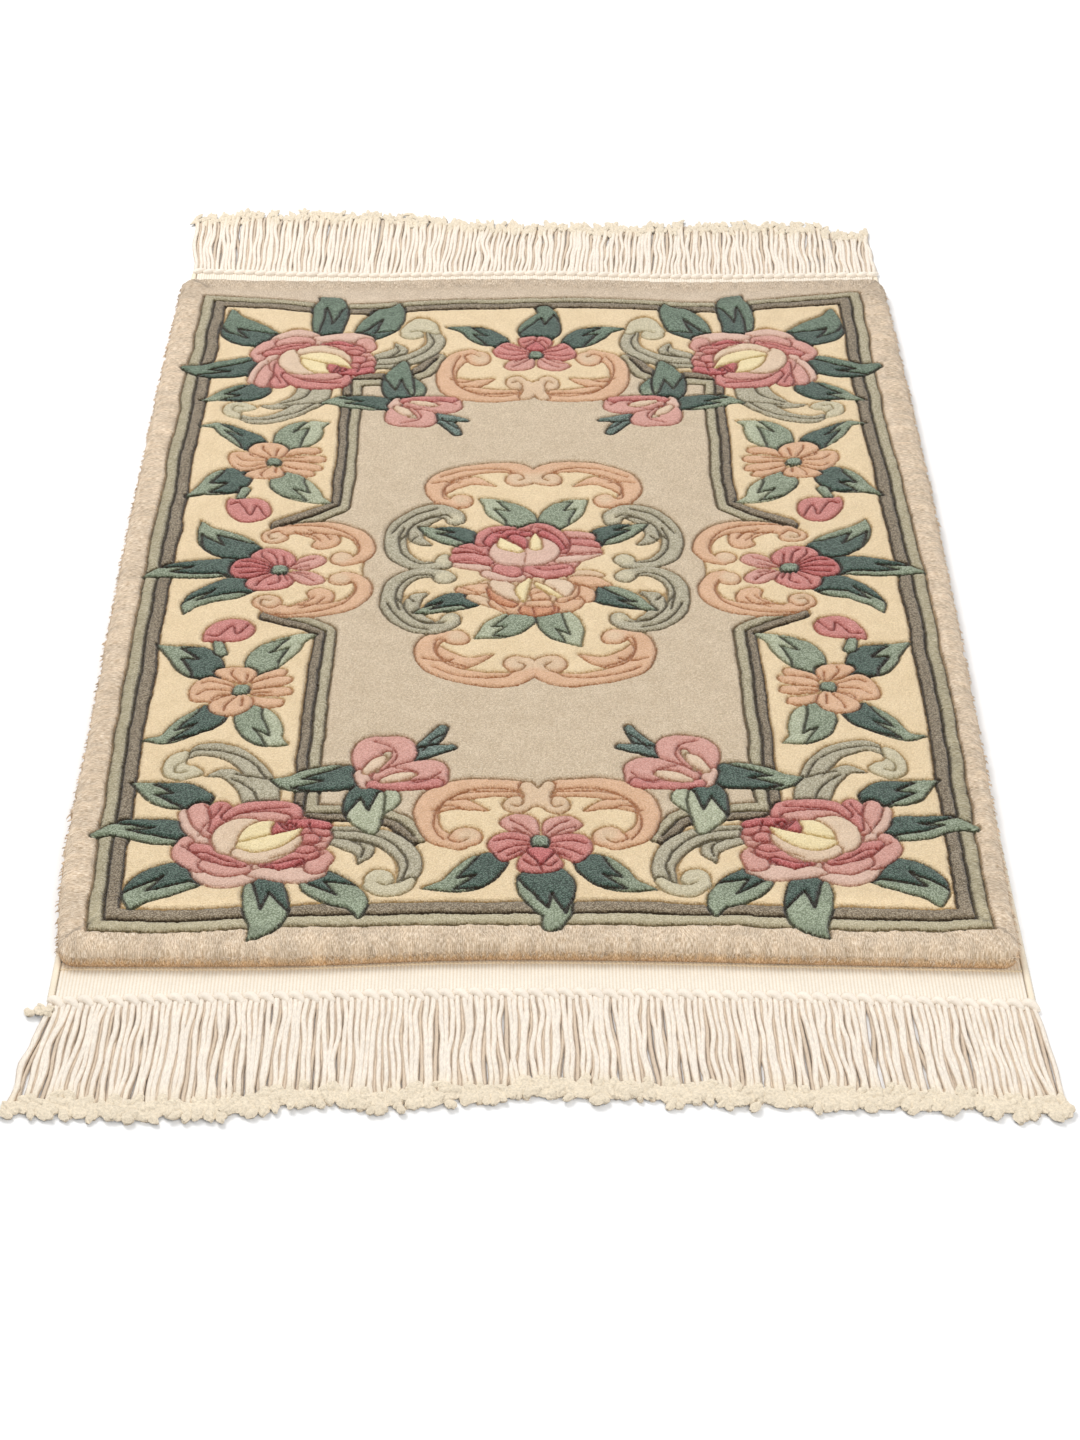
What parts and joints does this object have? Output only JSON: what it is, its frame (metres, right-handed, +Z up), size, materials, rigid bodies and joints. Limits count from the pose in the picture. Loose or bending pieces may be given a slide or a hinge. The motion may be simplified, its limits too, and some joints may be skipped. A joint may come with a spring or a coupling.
{
  "type": "chinese rug",
  "caption": "Small rectangular chinese rug: thick carved wool pile with flowers, leaves and scrolls on a cotton ground, with flat-woven ends and knotted fringes, lying flat.",
  "frame": {"origin": "middle of the underside, on the plane that the rug lies on", "axes": "+Z up out of the pile, +Y along the rug's length towards the far fringe, +X across its width"},
  "size_m": [0.6243, 1.1837, 0.0157],
  "materials": {
    "wool_pile": "soft cut wool pile, matt, with carved ornament in cream, rose, peach, green and grey",
    "cotton": "undyed cotton, matt",
    "overcast_cord": "cotton cord overcast with yarn, matt"
  },
  "bodies": {
    "root": {"pile": "wool_pile", "foundation": "cotton", "side_cord_left": "overcast_cord", "side_cord_right": "overcast_cord", "fringe_near": "cotton", "fringe_far": "cotton"}
  },
  "joints": []
}
